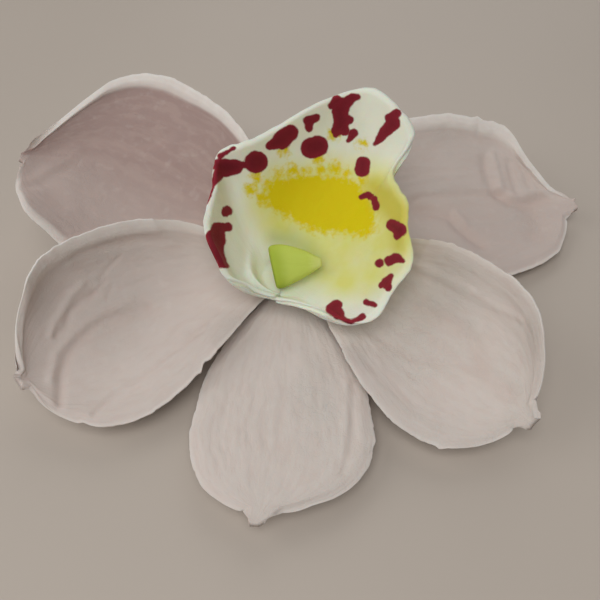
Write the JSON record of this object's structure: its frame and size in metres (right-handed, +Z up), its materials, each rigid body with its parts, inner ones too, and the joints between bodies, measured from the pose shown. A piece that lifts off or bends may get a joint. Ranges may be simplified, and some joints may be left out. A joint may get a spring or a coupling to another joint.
{
  "type": "sugar-paste cymbidium orchid bloom",
  "caption": "Open orchid bloom modelled in sugar paste, lying on its back: broad pale petals round a ruffled, spotted lip and a small green column. It decorates a cake.",
  "frame": {"origin": "on the surface that the bloom lies on, under the point where the petals meet, on the receptacle's flat underside", "axes": "+Z up out of the bloom; the dorsal sepal points along -Y and the lip opens upwards between the lateral sepals on the +Y side"},
  "size_m": [0.1317, 0.1005, 0.038],
  "materials": {
    "blush_paste": "dry matte sugar paste, faintly veined",
    "lip_paste": "dry matte sugar paste with painted crimson spots and a yellow patch",
    "column_paste": "dry matte sugar paste"
  },
  "bodies": {
    "root": {"receptacle": "blush_paste", "dorsal_sepal": "blush_paste", "lateral_sepal_left": "blush_paste", "lateral_sepal_right": "blush_paste", "petal_left": "blush_paste", "petal_right": "blush_paste", "lip": "lip_paste", "column": "column_paste"}
  },
  "joints": []
}
